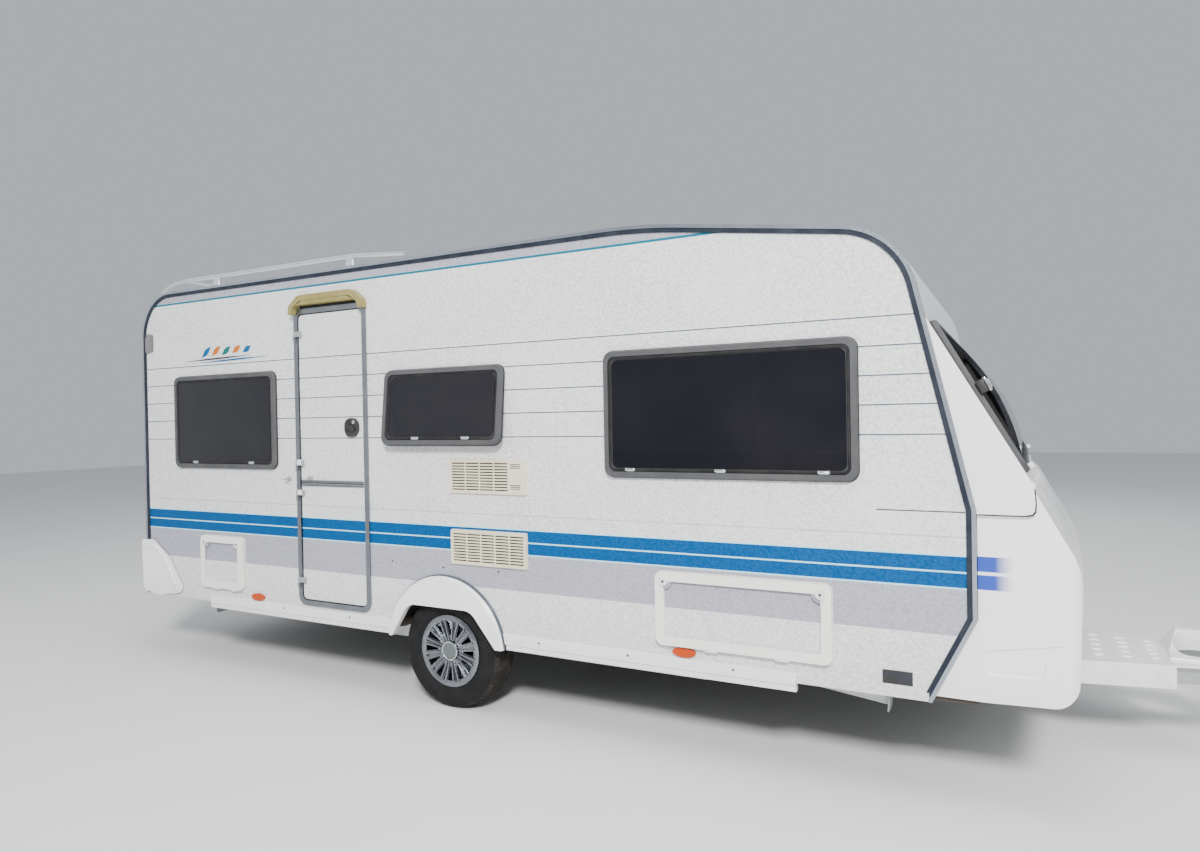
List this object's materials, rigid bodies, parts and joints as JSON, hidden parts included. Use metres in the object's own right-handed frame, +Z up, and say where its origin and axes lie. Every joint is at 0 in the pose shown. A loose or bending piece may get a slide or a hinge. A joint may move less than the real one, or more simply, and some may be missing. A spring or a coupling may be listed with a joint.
{
  "type": "travel caravan",
  "caption": "Single-axle travel caravan with a sloped front window, gas locker nose, stable door, side windows, roof rails and a covered drawbar on a jockey wheel.",
  "frame": {"origin": "middle of the footprint on the ground, under the body", "axes": "+X forward to the coupling, +Y to the left side, +Z up; the door is at -Y"},
  "size_m": [6.848, 2.3998, 2.578],
  "materials": {
    "wall_sheet": "white hammered skin of a light bonded panel, striped bands low on the sides",
    "roof_sheet": "satin skin of a light bonded panel",
    "moulding": "gloss, slightly weathered",
    "flap_plastic": "matt",
    "hood_plastic": "matt, yellowed",
    "sash_plastic": "matt",
    "pane": "tinted acrylic",
    "door_sheet": "white hammered skin of a light bonded panel",
    "frame_alloy": "satin",
    "edge_alloy": "satin",
    "insert_rubber": "matt",
    "floor_board": "sealed board",
    "well_plastic": "matt",
    "lock_plastic": "matt",
    "galvanised": "galvanised",
    "axle_steel": "satin",
    "tyre": "matt, worn",
    "trim_silver": "silver",
    "lamp_amber": "gloss lens",
    "lamp_clear": "grey ribbed lens",
    "lamp_red": "gloss lens",
    "coupling_black": "satin",
    "rail_alloy": "satin",
    "grip_plastic": "matt"
  },
  "bodies": {
    "caravan": {"wall_right": "wall_sheet", "wall_left": "wall_sheet", "roof": "roof_sheet", "wall_rear": "wall_sheet", "wall_front": "moulding", "front_cheeks": "moulding", "nose_box": "moulding", "floor": "floor_board", "wheel_boxes": "well_plastic", "window_sashes": "sash_plastic", "window_panes": "pane", "door_frame": "frame_alloy", "door_hood": "hood_plastic", "flap_frames": "flap_plastic", "vent_grilles": "flap_plastic", "wheel_arches": "moulding", "sills": "frame_alloy", "edge_trims": "edge_alloy", "trim_inserts": "insert_rubber", "rooflight_frames": "flap_plastic", "roof_rails": "rail_alloy", "rear_bumper": "moulding", "marker_lamps": "lamp_amber", "corner_markers": "lamp_clear", "rear_lamps": "lamp_red", "chassis_right": "galvanised", "chassis_left": "galvanised", "axle_beam": "galvanised", "swing_arms": "axle_steel", "coupling": "galvanised", "overrun_housing": "coupling_black", "handbrake": "grip_plastic", "drawbar_cover": "moulding", "jockey_clamp": "galvanised", "steady_brackets": "galvanised"},
    "wheel_right_body": {"tyre_right": "tyre", "wheel_right": "trim_silver"},
    "wheel_left_body": {"tyre_left": "tyre", "wheel_left": "trim_silver"},
    "door_upper_body": {"door_upper": "door_sheet", "door_lock": "lock_plastic"},
    "door_lower_body": {"door_lower": "door_sheet"},
    "flap_service_body": {"flap_service": "flap_plastic"},
    "flap_toilet_body": {"flap_toilet": "flap_plastic"},
    "locker_lid_body": {"locker_lid": "moulding"},
    "rooflight_front_body": {"rooflight_front": "flap_plastic"},
    "rooflight_rear_body": {"rooflight_rear": "flap_plastic"},
    "jockey_slide_body": {"jockey_tube": "galvanised"},
    "jockey_fork_body": {"jockey_fork": "galvanised"},
    "jockey_wheel_body": {"jockey_wheel": "grip_plastic"},
    "steady_front_right_body": {"steady_front_right": "galvanised"},
    "steady_front_left_body": {"steady_front_left": "galvanised"},
    "steady_rear_right_body": {"steady_rear_right": "galvanised"},
    "steady_rear_left_body": {"steady_rear_left": "galvanised"}
  },
  "joints": [
    {"name": "wheel_right_spin", "type": "hinge", "parent": "caravan", "child": "wheel_right_body", "pos_m": [-0.767, -1.03, 0.315], "axis": [0, 1, 0], "continuous": true},
    {"name": "wheel_left_spin", "type": "hinge", "parent": "caravan", "child": "wheel_left_body", "pos_m": [-0.767, 1.03, 0.315], "axis": [0, 1, 0], "continuous": true},
    {"name": "door_upper_hinge", "type": "hinge", "parent": "caravan", "child": "door_upper_body", "pos_m": [-1.867, -1.169, 1.7], "axis": [0, 0, -1], "range_deg": [0, 165]},
    {"name": "door_lower_hinge", "type": "hinge", "parent": "caravan", "child": "door_lower_body", "pos_m": [-1.867, -1.169, 0.87], "axis": [0, 0, -1], "range_deg": [0, 165]},
    {"name": "flap_service_hinge", "type": "hinge", "parent": "caravan", "child": "flap_service_body", "pos_m": [0.8885, -1.172, 0.5095], "axis": [1, 0, 0], "range_deg": [0, 110]},
    {"name": "flap_toilet_hinge", "type": "hinge", "parent": "caravan", "child": "flap_toilet_body", "pos_m": [-2.571, -1.172, 0.509], "axis": [1, 0, 0], "range_deg": [0, 110]},
    {"name": "locker_lid_hinge", "type": "hinge", "parent": "caravan", "child": "locker_lid_body", "pos_m": [2.095, 0, 1.252], "axis": [0, -1, 0], "range_deg": [0, 80]},
    {"name": "rooflight_front_hinge", "type": "hinge", "parent": "caravan", "child": "rooflight_front_body", "pos_m": [-0.414, 0, 2.4916], "axis": [0, -1, 0], "range_deg": [0, 60]},
    {"name": "rooflight_rear_hinge", "type": "hinge", "parent": "caravan", "child": "rooflight_rear_body", "pos_m": [-2.324, 0, 2.4916], "axis": [0, -1, 0], "range_deg": [0, 60]},
    {"name": "jockey_lift", "type": "slide", "parent": "caravan", "child": "jockey_slide_body", "axis": [0, 0, 1], "range_m": [-0.05, 0.1]},
    {"name": "jockey_swivel", "type": "hinge", "parent": "jockey_slide_body", "child": "jockey_fork_body", "pos_m": [2.968, 0.16, 0.2], "axis": [0, 0, 1], "continuous": true},
    {"name": "jockey_spin", "type": "hinge", "parent": "jockey_fork_body", "child": "jockey_wheel_body", "pos_m": [2.923, 0.16, 0.1], "axis": [0, 1, 0], "continuous": true},
    {"name": "steady_front_right_swing", "type": "hinge", "parent": "caravan", "child": "steady_front_right_body", "pos_m": [1.063, -0.85, 0.35], "axis": [0, 1, 0], "range_deg": [0, 40]},
    {"name": "steady_front_left_swing", "type": "hinge", "parent": "caravan", "child": "steady_front_left_body", "pos_m": [1.063, 0.85, 0.35], "axis": [0, 1, 0], "range_deg": [0, 40]},
    {"name": "steady_rear_right_swing", "type": "hinge", "parent": "caravan", "child": "steady_rear_right_body", "pos_m": [-2.597, -0.85, 0.35], "axis": [0, -1, 0], "range_deg": [0, 40]},
    {"name": "steady_rear_left_swing", "type": "hinge", "parent": "caravan", "child": "steady_rear_left_body", "pos_m": [-2.597, 0.85, 0.35], "axis": [0, -1, 0], "range_deg": [0, 40]}
  ]
}
